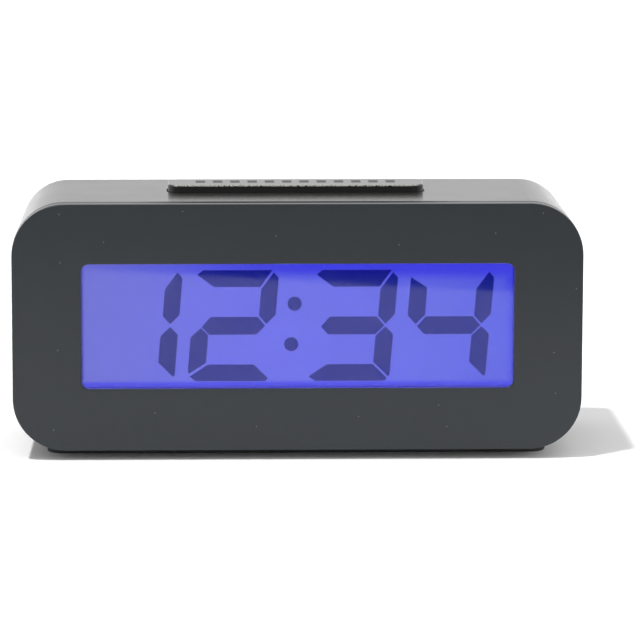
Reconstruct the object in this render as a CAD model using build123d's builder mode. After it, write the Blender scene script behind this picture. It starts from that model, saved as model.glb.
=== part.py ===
from build123d import *
import math
import os

os.makedirs("parts", exist_ok=True)

# A desk clock with a lit segment display, in millimetres
# The origin is the middle of the footprint, on the surface that the feet stand on
# The display faces -Y, and the viewer's right is +X

# Whole case
case_width = 130.0
case_height = 57.0
case_depth = 45.0
case_corner = 12.0
shell_wall = 2.0
foot_height = 2.3
cut_overrun = 1.0

# Front bezel
bezel_wall = 1.8
bezel_rim = 3.0
bezel_edge_radius = 0.2
tongue_wall = 1.2
tongue_reach = 2.5
tongue_clearance = 0.2

# Housing behind the bezel
seam_gap = 0.45
back_inset = 1.25
back_edge_radius = 1.6

# Window, set in from the edges of the face, and the stack of sheets behind it
window_side_margin = 15.65
window_top_margin = 13.8
window_bottom_margin = 14.3
window_corner = 1.9
window_edge_radius = 0.25
lens_recess = 0.5
lens_clearance = 0.1
lens_flange = 2.6
lens_flange_thickness = 0.5
glass_margin = 1.6
glass_thickness = 0.7
contact_ledge = 3.4
segment_thickness = 0.08
sheet_thickness = 0.2
guide_thickness = 3.8

# Digits: four of them fill the window between these margins, with a colon in the middle
shown_time = "1234"
digits_left_margin = 3.22
digits_right_margin = 5.42
digits_top_margin = 1.83
digits_bottom_margin = 1.33
digit_gap = 2.93
middle_gap = 8.2
digit_slant_share = 0.082
colon_radius = 1.62
colon_half_pitch = 4.7
colon_lift = 0.4

# Each segment's corners, as shares of the digit's half width and half height
segment_corner_shares = {
    "a": [(-0.96, 0.92), (-0.83, 1.0), (0.83, 1.0), (0.58, 0.7), (-0.54, 0.7)],
    "b": [(0.87, 0.96), (1.0, 0.86), (1.0, 0.2), (0.79, 0.03), (0.6, 0.18), (0.6, 0.66)],
    "c": [(0.8, -0.02), (1.0, -0.16), (1.0, -0.89), (0.96, -0.92), (0.58, -0.66), (0.58, -0.19)],
    "d": [(-0.53, -0.7), (0.57, -0.7), (0.94, -0.95), (0.88, -1.0), (-0.79, -1.0), (-0.95, -0.92)],
    "e": [(-0.77, -0.04), (-0.58, -0.17), (-0.58, -0.67), (-0.96, -0.86), (-1.0, -0.84), (-1.0, -0.21)],
    "f": [(-1.0, 0.87), (-0.59, 0.68), (-0.58, 0.19), (-0.79, 0.02), (-1.0, 0.18)],
    "g": [(-0.56, 0.16), (0.57, 0.16), (0.77, 0.0), (0.57, -0.16), (-0.56, -0.16), (-0.75, -0.02)],
}
segments_of_digit = {"1": "bc", "2": "abged", "3": "abgcd", "4": "fgbc"}

# Moulded frame that holds the display stack on the circuit board
frame_clearance = 0.15
frame_side_wall = 1.2
frame_top_wall = 3.4
frame_bottom_wall = 2.6
frame_pin_radius = 0.9
frame_pin_inset = 4.0
strip_end_margin = 2.95
strip_height = 1.8
strip_inset = 0.65

# Light emitters along the top edge of the light guide
emitter_width = 3.4
emitter_height = 2.0
emitter_depth = 3.6
emitter_count = 3

# Main circuit board, inside the bezel's tongue and notched round the case screws
board_side_gap = 1.6
board_top_gap = 2.1
board_thickness = 1.6
board_corner = 1.0
board_notch_gap = 0.8
board_post_inset = 3.2
board_post_drop = 12.0
board_post_radius = 2.2
small_screw_radius = 0.85
small_screw_head_radius = 1.9
small_screw_head_height = 1.2
small_screw_reach = 4.5
thread_clearance = 0.05
hole_clearance = 0.2

# Parts on the back of the main board
chip_radius = 6.0
chip_height = 1.6
chip_dome_radius = 1.2
chip_x = -10.0
chip_z = -3.0
crystal_radius = 1.0
crystal_length = 6.2
crystal_x = 8.0
crystal_z = -2.0
capacitor_radius = 2.5
capacitor_length = 7.0
capacitor_edge_radius = 0.4
capacitor_pitch = 7.0
capacitor_x = 26.0
capacitor_z = -8.0

# Case screws, driven from the back through long posts into bosses on the bezel
screw_side_inset = 7.8
screw_top_inset = 9.2
boss_radius = 2.8
boss_end = 14.0
boss_gap = 0.2
post_radius = 3.5
post_floor = 3.0
screw_radius = 1.25
screw_length = 10.0
screw_head_radius = 2.3
screw_head_height = 1.8
counterbore_clearance = 0.3
cross_slot_width = 0.8
cross_slot_depth = 0.7

# Long push bar in the top of the case
bar_width = 59.0
bar_depth = 9.5
bar_corner = 2.8
bar_forward = 0.4
bar_rise = 1.72
bar_edge_radius = 0.3
bar_wall = 1.2
bar_travel = 0.8
bar_clearance = 0.3
collar_wall = 1.2
collar_depth = 4.6
lip_reach = 1.3
lip_height = 1.0
lip_length = 6.0
stop_gap = 0.1
plunger_radius = 2.0

# Narrow switch board under the push bar, on a post beyond each end of the bar
top_board_depth = 8.0
top_board_end_margin = 2.2
top_board_gap = 0.5
top_post_gap = 0.7
top_post_radius = 1.9

# Push switches, the same under the bar and behind the set buttons
switch_size = 6.0
switch_height = 3.5
switch_corner = 0.5
stem_radius = 1.6
stem_well = 1.9
stem_clearance = 0.1

# Control panel in the back: four push buttons and a sliding switch
panel_drop = 14.5
panel_half_height = 5.5
panel_end_radius = 4.5
panel_depth = 1.6
panel_pad_margin = 2.0
panel_end_margin = 7.0
button_names = ["hour", "minute", "time", "alarm"]
first_button_x = -27.0
button_pitch = 11.0
button_radius = 2.7
button_proud = 1.1
button_edge_radius = 0.4
button_clearance = 0.3
button_flange = 0.9
button_flange_thickness = 0.8
button_travel = 0.5
slider_x = 21.0
slider_travel = 4.0
slider_width = 3.2
slider_height = 2.2
slider_proud = 1.0
slider_clearance = 0.3
slider_flange_thickness = 0.8
slider_flange_height = 5.0
slider_flange_margin = 0.4
slider_groove_width = 0.4
slider_groove_depth = 0.35
slide_body_width = 9.0
slide_body_height = 4.4
slide_body_depth = 3.6
lever_width = 1.5
lever_reach = 0.4
lever_clearance = 0.1
slide_well_depth = 1.2

# Board behind the control panel
rear_board_thickness = 1.6
rear_board_margin = 3.0
rear_board_height = 12.0
rear_board_post_reach = 5.0
rear_board_post_radius = 2.5

# Battery bay and its two cells
cell_radius = 5.25
cell_length = 44.5
nub_radius = 1.9
nub_length = 0.8
cell_edge_radius = 0.5
cell_gap = 0.4
cell_clearance = 0.3
cell_to_door = 0.4
bay_bottom_margin = 4.1
bay_block_wall = 1.5
bay_ledge = 1.8
cradle_rib_width = 1.5
cradle_rib_height = 3.0
cradle_rib_x = 12.0
contact_thickness = 0.4
contact_size = 9.2
solder_tab_width = 2.0
solder_tab_reach = 1.0
solder_tab_clearance = 0.2
spring_length = 4.3
spring_turns = 4
spring_base_radius = 3.5
spring_tip_radius = 2.3
spring_wire_radius = 0.25

# Battery door, which tilts out on two tabs along its bottom edge
door_thickness = 1.8
door_clearance = 0.25
door_seat_gap = 0.1
door_corner = 1.2
door_edge_radius = 0.2
tab_x = 14.0
tab_width = 6.0
tab_thickness = 1.0
tab_reach = 1.4
tab_clearance = 0.4
tab_slot_floor = 1.9
latch_width = 10.0
latch_thickness = 0.9
latch_depth = 4.4
latch_rise = 1.5
latch_clearance = 0.5
notch_rise = 4.0
latch_wall = 1.5
grip_margin = 4.5
grip_depth = 0.4
grip_width = 0.8
grip_pitch = 1.5
grip_count = 5
grip_length = 12.0

# Sounder disc behind a slotted grille, between the battery bay and the side of the case
grille_drop = 6.0
grille_pitch = 3.2
grille_slot_width = 1.6
grille_slot_lengths = [8.0, 12.0, 13.5, 12.0, 8.0]
disc_radius = 9.5
disc_thickness = 0.3
ceramic_radius = 6.5
ceramic_thickness = 0.2
ring_wall = 1.2
ring_height = 1.8
ring_seat = 0.9
disc_clearance = 0.1

# Feet: two long strips with round ends
foot_end_margin = 7.5
foot_width = 7.0
foot_front = 7.5
foot_back_margin = 2.0
foot_recess = 0.4
foot_clearance = 0.1
foot_edge_radius = 0.3

# Leads between the boards
ribbon_width = 8.0
ribbon_thickness = 0.6
ribbon_bend = 2.0
control_ribbon_x = -31.0
control_ribbon_z = 3.0
snooze_ribbon_x = -4.0
snooze_ribbon_z = 4.0
lead_radius = 0.6
lead_bend = 3.0
lead_x = -31.0
lead_bend_ahead = 9.4

# Places worked out from the sizes above, all as distances behind the front face
front_y = -case_depth / 2
face_mid_z = foot_height + case_height / 2
seam_behind = bezel_rim + seam_gap
case_run = case_depth - seam_behind
draft = math.degrees(math.atan(back_inset / case_run))
glass_front = bezel_wall + lens_flange_thickness
segments_front = glass_front + glass_thickness
rear_glass_front = segments_front + segment_thickness
diffuser_front = rear_glass_front + glass_thickness
guide_front = diffuser_front + sheet_thickness
reflector_front = guide_front + guide_thickness
board_front = reflector_front + sheet_thickness
board_back = board_front + board_thickness
window_width = case_width - 2 * window_side_margin
window_height = case_height - window_top_margin - window_bottom_margin
window_lift = (window_bottom_margin - window_top_margin) / 2
cell_width = window_width + 2 * glass_margin
cell_height = window_height + 2 * glass_margin
cell_bottom = window_lift - cell_height / 2
cell_top = window_lift + cell_height / 2
ledge_bottom = cell_bottom - contact_ledge
frame_width = cell_width + 2 * (frame_clearance + frame_side_wall)
frame_top = cell_top + frame_clearance + frame_top_wall
frame_bottom = ledge_bottom - frame_clearance - frame_bottom_wall
tongue_inset = shell_wall + tongue_clearance
pocket_inset = tongue_inset + tongue_wall
screw_x = case_width / 2 - screw_side_inset
screw_z = case_height / 2 - screw_top_inset
board_width = case_width - 2 * (pocket_inset + board_side_gap)
board_height = case_height - 2 * (pocket_inset + board_top_gap)
board_post_x = board_width / 2 - board_post_inset
board_post_z = board_height / 2 - board_post_drop
foot_length = case_width - 2 * foot_end_margin
foot_back = case_depth - foot_back_margin - foot_width


def face_plane(behind):
    """The upright plane that faces the viewer, this far behind the front face."""
    return Plane(origin=(0, front_y + behind, face_mid_z), x_dir=(1, 0, 0), z_dir=(0, -1, 0))


def side_plane(x):
    """The upright plane across the case at this x; its own axes are the case's Y and Z."""
    return Plane(origin=(x, front_y, face_mid_z), x_dir=(0, 1, 0), z_dir=(1, 0, 0))


def floor_plane(height):
    """The level plane this far above the middle of the face; its own y runs back from the front face."""
    return Plane(origin=(0, front_y, face_mid_z + height), x_dir=(1, 0, 0), z_dir=(0, 0, 1))


def wall_inset(behind):
    """How far the housing's outside lies inside the bezel's outline, this far behind the face."""
    return back_inset * (behind - seam_behind) / case_run


def outline(inset, mode=Mode.ADD):
    """The case's rounded outline, drawn in by an inset."""
    RectangleRounded(case_width - 2 * inset, case_height - 2 * inset, case_corner - inset, mode=mode)


def keep(piece, name):
    piece.part.label = name
    export_step(piece.part, f"parts/{name}.step")


# Front bezel: a flat plate with a rounded rim, a window and a tongue that enters the housing
with BuildPart() as front_bezel:
    with BuildSketch(face_plane(0)):
        outline(0)
    extrude(amount=-bezel_rim)
    fillet(front_bezel.edges().group_by(Axis.Y)[0], bezel_edge_radius)
    with BuildSketch(face_plane(bezel_rim)):
        outline(pocket_inset)
    extrude(amount=bezel_rim - bezel_wall, mode=Mode.SUBTRACT)
    with BuildSketch(face_plane(bezel_rim)):
        outline(tongue_inset)
        outline(pocket_inset, Mode.SUBTRACT)
    extrude(amount=-tongue_reach)
    with BuildSketch(face_plane(bezel_wall)):
        with GridLocations(2 * screw_x, 2 * screw_z, 2, 2):
            Circle(boss_radius)
    extrude(amount=-(boss_end - bezel_wall))
    with BuildSketch(face_plane(boss_end)):
        with GridLocations(2 * screw_x, 2 * screw_z, 2, 2):
            Circle(screw_radius + thread_clearance)
    extrude(amount=screw_length, mode=Mode.SUBTRACT)
    with BuildSketch(face_plane(bezel_wall)):
        with GridLocations(2 * board_post_x, 2 * board_post_z, 2, 2):
            Circle(board_post_radius)
    extrude(amount=-(board_front - bezel_wall))
    with BuildSketch(face_plane(board_front)):
        with GridLocations(2 * board_post_x, 2 * board_post_z, 2, 2):
            Circle(small_screw_radius + thread_clearance)
    extrude(amount=small_screw_reach, mode=Mode.SUBTRACT)
    with BuildSketch(face_plane(0)):
        with Locations((0, window_lift)):
            RectangleRounded(window_width, window_height, window_corner)
    extrude(amount=-bezel_wall, mode=Mode.SUBTRACT)
    window_edges = front_bezel.edges().filter_by_position(
        Axis.X, -window_width / 2, window_width / 2
    ).group_by(Axis.Y)[0].filter_by_position(
        Axis.Z,
        face_mid_z + window_lift - window_height / 2,
        face_mid_z + window_lift + window_height / 2,
    )
    fillet(window_edges, window_edge_radius)
keep(front_bezel, "front_bezel")

# Clear lens: its boss fills the window and its flange lies behind the bezel's wall
with BuildPart() as window_lens:
    with BuildSketch(face_plane(lens_recess)):
        with Locations((0, window_lift)):
            RectangleRounded(
                window_width - 2 * lens_clearance,
                window_height - 2 * lens_clearance,
                window_corner - lens_clearance,
            )
    extrude(amount=-(bezel_wall - lens_recess))
    with BuildSketch(face_plane(bezel_wall)):
        with Locations((0, window_lift)):
            RectangleRounded(window_width + 2 * lens_flange, window_height + 2 * lens_flange, window_corner)
    extrude(amount=-lens_flange_thickness)
keep(window_lens, "window_lens")

# Front glass of the display, longer at the bottom, where its contacts lie
with BuildPart() as lcd_front_glass:
    with BuildSketch(face_plane(glass_front)):
        with Locations((0, (cell_top + ledge_bottom) / 2)):
            Rectangle(cell_width, cell_top - ledge_bottom)
    extrude(amount=-glass_thickness)
keep(lcd_front_glass, "lcd_front_glass")

# The dark segments between the two glasses
digits_width = window_width - digits_left_margin - digits_right_margin
digit_half_width = (digits_width - 2 * digit_gap - middle_gap) / (2 * len(shown_time))
digit_half_height = (window_height - digits_top_margin - digits_bottom_margin) / 2
digits_mid_x = (digits_left_margin - digits_right_margin) / 2
digits_mid_z = window_lift + (digits_bottom_margin - digits_top_margin) / 2
inner_digit_x = middle_gap / 2 + digit_half_width
outer_digit_x = inner_digit_x + digit_gap + 2 * digit_half_width
digit_places = [digits_mid_x + x for x in (-outer_digit_x, -inner_digit_x, inner_digit_x, outer_digit_x)]


def slanted(x, up):
    """A point of the display this far above the digits' middle, leaned to the right with height."""
    return (x + digit_slant_share * up, digits_mid_z + up)


def segment_corners(digit_x, segment):
    return [
        slanted(digit_x + across * digit_half_width, up * digit_half_height)
        for across, up in segment_corner_shares[segment]
    ]


with BuildPart() as lcd_segments:
    with BuildSketch(face_plane(segments_front)):
        for digit, digit_x in zip(shown_time, digit_places):
            for segment in segments_of_digit[digit]:
                Polygon(*segment_corners(digit_x, segment), align=None)
        with Locations(
            slanted(digits_mid_x, colon_lift + colon_half_pitch),
            slanted(digits_mid_x, colon_lift - colon_half_pitch),
        ):
            Circle(colon_radius)
    extrude(amount=-segment_thickness)
keep(lcd_segments, "lcd_segments")


def sheet(front, thickness):
    """A plain sheet of the display stack, as large as the rear glass."""
    with BuildPart() as plain_sheet:
        with BuildSketch(face_plane(front)):
            with Locations((0, window_lift)):
                Rectangle(cell_width, cell_height)
        extrude(amount=-thickness)
    return plain_sheet


keep(sheet(rear_glass_front, glass_thickness), "lcd_rear_glass")
keep(sheet(diffuser_front, sheet_thickness), "diffuser_sheet")
keep(sheet(guide_front, guide_thickness), "light_guide")
keep(sheet(reflector_front, sheet_thickness), "reflector_sheet")

# Three light emitters stand on the board and shine down into the guide's top edge
emitter_z = cell_top + frame_clearance + emitter_height / 2
emitter_pitch = cell_width / emitter_count
emitter_places = [
    (emitter_pitch * (index - (emitter_count - 1) / 2), emitter_z) for index in range(emitter_count)
]
with BuildPart() as backlight_leds:
    with BuildSketch(face_plane(board_front)):
        with Locations(*emitter_places):
            Rectangle(emitter_width, emitter_height)
    extrude(amount=emitter_depth)
keep(backlight_leds, "backlight_leds")

# Moulded frame round the stack, with a slot for the contact strip and pins into the board
strip_z = ledge_bottom + strip_inset + strip_height / 2
strip_width = cell_width - 2 * strip_end_margin
pin_x = frame_width / 2 - frame_pin_inset
pin_heights = (frame_top - frame_top_wall / 2, frame_bottom + frame_bottom_wall / 2)
pin_places = [(x, z) for x in (-pin_x, pin_x) for z in pin_heights]
with BuildPart() as display_frame:
    with BuildSketch(face_plane(glass_front)):
        with Locations((0, (frame_top + frame_bottom) / 2)):
            Rectangle(frame_width, frame_top - frame_bottom)
        with Locations((0, window_lift)):
            Rectangle(cell_width + 2 * frame_clearance, cell_height + 2 * frame_clearance, mode=Mode.SUBTRACT)
        with Locations((0, strip_z)):
            Rectangle(
                strip_width + 2 * frame_clearance, strip_height + 2 * frame_clearance, mode=Mode.SUBTRACT
            )
    extrude(amount=-(board_front - glass_front))
    with BuildSketch(face_plane(glass_front)):
        with Locations((0, (cell_top + ledge_bottom) / 2)):
            Rectangle(cell_width + 2 * frame_clearance, cell_top - ledge_bottom + 2 * frame_clearance)
    extrude(amount=-glass_thickness, mode=Mode.SUBTRACT)
    with BuildSketch(face_plane(board_front)):
        with Locations(*emitter_places):
            Rectangle(emitter_width + 2 * frame_clearance, emitter_height + 2 * frame_clearance)
    extrude(amount=emitter_depth + frame_clearance, mode=Mode.SUBTRACT)
    with BuildSketch(face_plane(board_front)):
        with Locations(*pin_places):
            Circle(frame_pin_radius)
    extrude(amount=-board_thickness)
keep(display_frame, "display_frame")

# Rubber strip that joins the glass ledge to the board
with BuildPart() as contact_strip:
    with BuildSketch(face_plane(segments_front)):
        with Locations((0, strip_z)):
            Rectangle(strip_width, strip_height)
    extrude(amount=-(board_front - segments_front))
keep(contact_strip, "contact_strip")

# Main board, notched at its corners to clear the case bosses
board_notch_width = board_width / 2 - (screw_x - boss_radius - board_notch_gap)
board_notch_height = board_height / 2 - (screw_z - boss_radius - board_notch_gap)
with BuildPart() as circuit_board:
    with BuildSketch(face_plane(board_front)):
        RectangleRounded(board_width, board_height, board_corner)
        with GridLocations(board_width - board_notch_width, board_height - board_notch_height, 2, 2):
            Rectangle(board_notch_width, board_notch_height, mode=Mode.SUBTRACT)
        with GridLocations(2 * board_post_x, 2 * board_post_z, 2, 2):
            Circle(small_screw_radius + hole_clearance, mode=Mode.SUBTRACT)
        with Locations(*pin_places):
            Circle(frame_pin_radius + frame_clearance, mode=Mode.SUBTRACT)
    extrude(amount=-board_thickness)
keep(circuit_board, "circuit_board")

# Four small screws hold the main board on the bezel's posts
with BuildPart() as board_screws:
    with BuildSketch(face_plane(board_back)):
        with GridLocations(2 * board_post_x, 2 * board_post_z, 2, 2):
            Circle(small_screw_head_radius)
    extrude(amount=-small_screw_head_height)
    fillet(board_screws.edges().group_by(Axis.Y)[-1], small_screw_head_height / 2)
    with BuildSketch(face_plane(board_back)):
        with GridLocations(2 * board_post_x, 2 * board_post_z, 2, 2):
            Circle(small_screw_radius)
    extrude(amount=small_screw_reach + board_thickness - hole_clearance)
keep(board_screws, "board_screws")

# Domed blob of resin over the clock chip
with BuildPart() as clock_chip:
    with BuildSketch(face_plane(board_back)):
        with Locations((chip_x, chip_z)):
            Circle(chip_radius)
    extrude(amount=-chip_height)
    fillet(clock_chip.edges().group_by(Axis.Y)[-1], chip_dome_radius)
keep(clock_chip, "clock_chip")

# Quartz crystal can, lying on the board
with BuildPart() as quartz_crystal:
    with BuildSketch(side_plane(crystal_x)):
        with Locations((board_back + crystal_radius, crystal_z)):
            Circle(crystal_radius)
    extrude(amount=crystal_length)
keep(quartz_crystal, "quartz_crystal")

# Two upright capacitor cans
with BuildPart() as capacitors:
    with BuildSketch(face_plane(board_back)):
        with Locations((capacitor_x, capacitor_z), (capacitor_x + capacitor_pitch, capacitor_z)):
            Circle(capacitor_radius)
    extrude(amount=-capacitor_length)
    fillet(capacitors.edges().group_by(Axis.Y)[-1], capacitor_edge_radius)
keep(capacitors, "capacitors")

# Places on the back wall
back_wall_inside = case_depth - shell_wall
panel_lift = case_height / 2 - panel_drop
panel_floor = case_depth - panel_depth
panel_inside = panel_floor - shell_wall
panel_left = first_button_x - panel_end_margin
panel_right = slider_x + slider_travel / 2 + panel_end_margin
panel_mid_x = (panel_left + panel_right) / 2
panel_half_width = (panel_right - panel_left) / 2
button_places = [first_button_x + button_pitch * index for index in range(len(button_names))]
slot_half_width = (slider_width + slider_travel) / 2 + slider_clearance
flange_behind = panel_inside - stop_gap
flange_front = flange_behind - button_flange_thickness
rear_board_back = flange_front - button_travel - 2 * stem_clearance - switch_height
rear_board_front = rear_board_back - rear_board_thickness
rear_board_post_x = panel_half_width + rear_board_post_reach
rear_board_posts = [(panel_mid_x + side * rear_board_post_x, panel_lift) for side in (-1, 1)]

# Places in the battery bay
cell_pitch = 2 * cell_radius + cell_gap
door_seat = case_depth - door_thickness - door_seat_gap
cell_behind = door_seat - cell_to_door - cell_radius
bay_floor = cell_behind - cell_radius - cell_clearance
bay_half_height = cell_pitch / 2 + cell_radius + cell_clearance
bay_half_length = (cell_length + spring_length) / 2 + contact_thickness
pocket_half_length = bay_half_length + bay_ledge
pocket_half_height = bay_half_height + bay_ledge
bay_mid_z = bay_bottom_margin + pocket_half_height - case_height / 2
upper_cell_z = bay_mid_z + cell_pitch / 2
lower_cell_z = bay_mid_z - cell_pitch / 2
pocket_top = bay_mid_z + pocket_half_height
pocket_bottom = bay_mid_z - pocket_half_height
latch_front = door_seat - latch_depth
bay_side = pocket_half_length + bay_block_wall
grille_x = (bay_side + case_width / 2 - back_inset - shell_wall) / 2

# Places under the push bar
bar_middle = (seam_behind + case_depth) / 2 - bar_forward
case_top_at_bar = case_height / 2 - wall_inset(bar_middle - bar_depth / 2)
bar_top = case_top_at_bar + bar_rise
collar_top = case_height / 2 - wall_inset(case_depth) - shell_wall / 2
collar_bottom = collar_top - collar_depth
lip_top = collar_bottom - stop_gap
bar_bottom = lip_top - lip_height
top_board_top = bar_bottom - bar_travel - top_board_gap
top_switch_top = top_board_top + switch_height
bar_stem_top = top_switch_top + bar_travel + 2 * stem_clearance
top_post_x = bar_width / 2 + lip_reach + top_post_gap + top_post_radius
top_posts = [(-top_post_x, bar_middle), (top_post_x, bar_middle)]


def panel_slot(grow):
    """The control panel's long outline with round ends, grown all round."""
    with Locations((panel_mid_x, panel_lift)):
        RectangleRounded(
            2 * (panel_half_width + grow), 2 * (panel_half_height + grow), panel_end_radius + grow
        )


# Rear housing: a tapered shell with the battery bay, control panel, grille and screw posts moulded in
with BuildPart() as rear_case:
    with BuildSketch(face_plane(seam_behind)):
        outline(0)
    extrude(amount=-case_run, taper=draft)
    fillet(rear_case.edges().group_by(Axis.Y)[-1], back_edge_radius)
    with BuildSketch(face_plane(seam_behind)):
        outline(shell_wall)
    extrude(amount=-(case_run - shell_wall), taper=draft, mode=Mode.SUBTRACT)

    # Collar round the push bar's slot, and a post beyond each end of it for the switch board
    with BuildSketch(floor_plane(collar_bottom)):
        with Locations((0, bar_middle)):
            RectangleRounded(
                bar_width + 2 * (bar_clearance + collar_wall),
                bar_depth + 2 * (bar_clearance + collar_wall),
                bar_corner + bar_clearance + collar_wall,
            )
    extrude(amount=collar_depth)
    with BuildSketch(floor_plane(top_board_top)):
        with Locations(*top_posts):
            Circle(top_post_radius)
    extrude(amount=collar_top - top_board_top)
    with BuildSketch(floor_plane(collar_bottom)):
        with Locations((0, bar_middle)):
            RectangleRounded(
                bar_width + 2 * bar_clearance, bar_depth + 2 * bar_clearance, bar_corner + bar_clearance
            )
    extrude(amount=case_height / 2 - collar_bottom, mode=Mode.SUBTRACT)
    with BuildSketch(floor_plane(top_board_top)):
        with Locations(*top_posts):
            Circle(small_screw_radius + thread_clearance)
    extrude(amount=small_screw_reach, mode=Mode.SUBTRACT)

    # Long screw posts at the corners
    with BuildSketch(face_plane(boss_end + boss_gap)):
        with GridLocations(2 * screw_x, 2 * screw_z, 2, 2):
            Circle(post_radius)
    extrude(amount=-(case_depth - shell_wall / 2 - boss_end - boss_gap))
    with BuildSketch(face_plane(boss_end)):
        with GridLocations(2 * screw_x, 2 * screw_z, 2, 2):
            Circle(screw_radius + hole_clearance)
    extrude(amount=-case_depth, mode=Mode.SUBTRACT)
    with BuildSketch(face_plane(boss_end + boss_gap + post_floor)):
        with GridLocations(2 * screw_x, 2 * screw_z, 2, 2):
            Circle(screw_head_radius + counterbore_clearance)
    extrude(amount=-case_depth, mode=Mode.SUBTRACT)

    # Control panel: a thick pad inside, a shallow recess outside, and its holes
    with BuildSketch(face_plane(panel_inside)):
        panel_slot(panel_pad_margin)
    extrude(amount=-(back_wall_inside - panel_inside + shell_wall / 2))
    with BuildSketch(face_plane(panel_floor)):
        panel_slot(0)
    extrude(amount=-(panel_depth + cut_overrun), mode=Mode.SUBTRACT)
    with BuildSketch(face_plane(panel_inside)):
        with Locations(*[(x, panel_lift) for x in button_places]):
            Circle(button_radius + button_clearance)
        with Locations((slider_x, panel_lift)):
            Rectangle(2 * slot_half_width, slider_height + 2 * slider_clearance)
    extrude(amount=-shell_wall, mode=Mode.SUBTRACT)
    with BuildSketch(face_plane(rear_board_back)):
        with Locations(*rear_board_posts):
            Circle(rear_board_post_radius)
    extrude(amount=-(case_depth - shell_wall / 2 - rear_board_back))
    with BuildSketch(face_plane(rear_board_back)):
        with Locations(*rear_board_posts):
            Circle(small_screw_radius + thread_clearance)
    extrude(amount=-small_screw_reach, mode=Mode.SUBTRACT)

    # Battery bay: a block on the back wall, hollowed for two cells, with a ledge for the door
    with BuildSketch(face_plane(bay_floor - bay_block_wall)):
        with Locations((0, bay_mid_z)):
            Rectangle(2 * bay_side, 2 * (pocket_half_height + bay_block_wall))
    extrude(amount=-(case_depth - shell_wall / 2 - bay_floor + bay_block_wall))
    with BuildSketch(face_plane(latch_front - latch_wall)):
        with Locations((0, pocket_top + (notch_rise + latch_wall) / 2)):
            Rectangle(latch_width + 2 * (latch_clearance + latch_wall), notch_rise + latch_wall)
    extrude(amount=-(case_depth - shell_wall / 2 - latch_front + latch_wall))
    with BuildSketch(face_plane(bay_floor)):
        with Locations((0, bay_mid_z)):
            Rectangle(2 * bay_half_length, 2 * bay_half_height)
    extrude(amount=-case_depth, mode=Mode.SUBTRACT)
    with BuildSketch(face_plane(door_seat)):
        with Locations((0, bay_mid_z)):
            RectangleRounded(2 * pocket_half_length, 2 * pocket_half_height, door_corner + door_clearance)
    extrude(amount=-case_depth, mode=Mode.SUBTRACT)
    with BuildSketch(face_plane(latch_front - latch_clearance)):
        with Locations((0, pocket_top - bay_ledge + (notch_rise + bay_ledge) / 2)):
            Rectangle(latch_width + 2 * latch_clearance, notch_rise + bay_ledge)
    extrude(amount=-case_depth, mode=Mode.SUBTRACT)
    with BuildSketch(face_plane(door_seat)):
        tab_slot_z = pocket_bottom + (bay_ledge - tab_reach - tab_clearance) / 2
        with Locations((-tab_x, tab_slot_z), (tab_x, tab_slot_z)):
            Rectangle(tab_width + 2 * tab_clearance, bay_ledge + tab_reach + tab_clearance)
    extrude(amount=tab_slot_floor, mode=Mode.SUBTRACT)

    # Slots in the bay's floor for the contacts' solder tabs
    with BuildSketch(face_plane(bay_floor)):
        tab_slot_x = contact_thickness / 2 - bay_half_length
        with Locations((tab_slot_x, upper_cell_z), (tab_slot_x, lower_cell_z)):
            Rectangle(
                contact_thickness + 2 * solder_tab_clearance, solder_tab_width + 2 * solder_tab_clearance
            )
    extrude(amount=bay_block_wall, mode=Mode.SUBTRACT)

    # Ribs across the bay, hollowed to cradle the cells
    for rib_x in (-cradle_rib_x - cradle_rib_width / 2, cradle_rib_x - cradle_rib_width / 2):
        with BuildSketch(side_plane(rib_x)):
            with Locations((bay_floor + cradle_rib_height / 2, bay_mid_z)):
                Rectangle(cradle_rib_height, 2 * bay_half_height)
            with Locations((cell_behind, upper_cell_z), (cell_behind, lower_cell_z)):
                Circle(cell_radius + cell_clearance, mode=Mode.SUBTRACT)
        extrude(amount=cradle_rib_width)

    # Grille slots, and the ring that the sounder disc sits in
    ring_front = back_wall_inside - ring_height
    with BuildSketch(face_plane(ring_front)):
        with Locations((grille_x, -grille_drop)):
            Circle(disc_radius + disc_clearance + ring_wall)
            Circle(disc_radius + disc_clearance, mode=Mode.SUBTRACT)
    extrude(amount=-(ring_height + shell_wall / 2))
    with BuildSketch(face_plane(back_wall_inside - ring_seat)):
        with Locations((grille_x, -grille_drop)):
            Circle(disc_radius + disc_clearance)
            Circle(disc_radius - ring_wall, mode=Mode.SUBTRACT)
    extrude(amount=-(ring_seat + shell_wall / 2))
    for index, slot_length in enumerate(grille_slot_lengths):
        slot_x = grille_x + (index - (len(grille_slot_lengths) - 1) / 2) * grille_pitch
        with BuildSketch(face_plane(back_wall_inside)):
            with Locations((slot_x, -grille_drop)):
                SlotOverall(slot_length, grille_slot_width, rotation=90)
        extrude(amount=-case_depth, mode=Mode.SUBTRACT)

    # Shallow seats for the feet
    for foot_start in (foot_front, foot_back):
        seat = wall_inset(foot_start + foot_width) + foot_recess
        with BuildSketch(floor_plane(-case_height / 2)):
            with Locations((0, foot_start + foot_width / 2)):
                SlotOverall(foot_length + 2 * foot_clearance, foot_width + 2 * foot_clearance)
        extrude(amount=seat, mode=Mode.SUBTRACT)
keep(rear_case, "rear_case")

# Feet: soft strips in the seats, standing below the bezel's edge
for foot_name, foot_start in (("front_foot_strip", foot_front), ("rear_foot_strip", foot_back)):
    seat = wall_inset(foot_start + foot_width) + foot_recess
    with BuildPart() as foot_strip:
        with BuildSketch(Plane.XY):
            with Locations((0, front_y + foot_start + foot_width / 2)):
                SlotOverall(foot_length, foot_width)
        extrude(amount=foot_height + seat)
        fillet(foot_strip.edges().group_by(Axis.Z)[0], foot_edge_radius)
    keep(foot_strip, foot_name)

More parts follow.
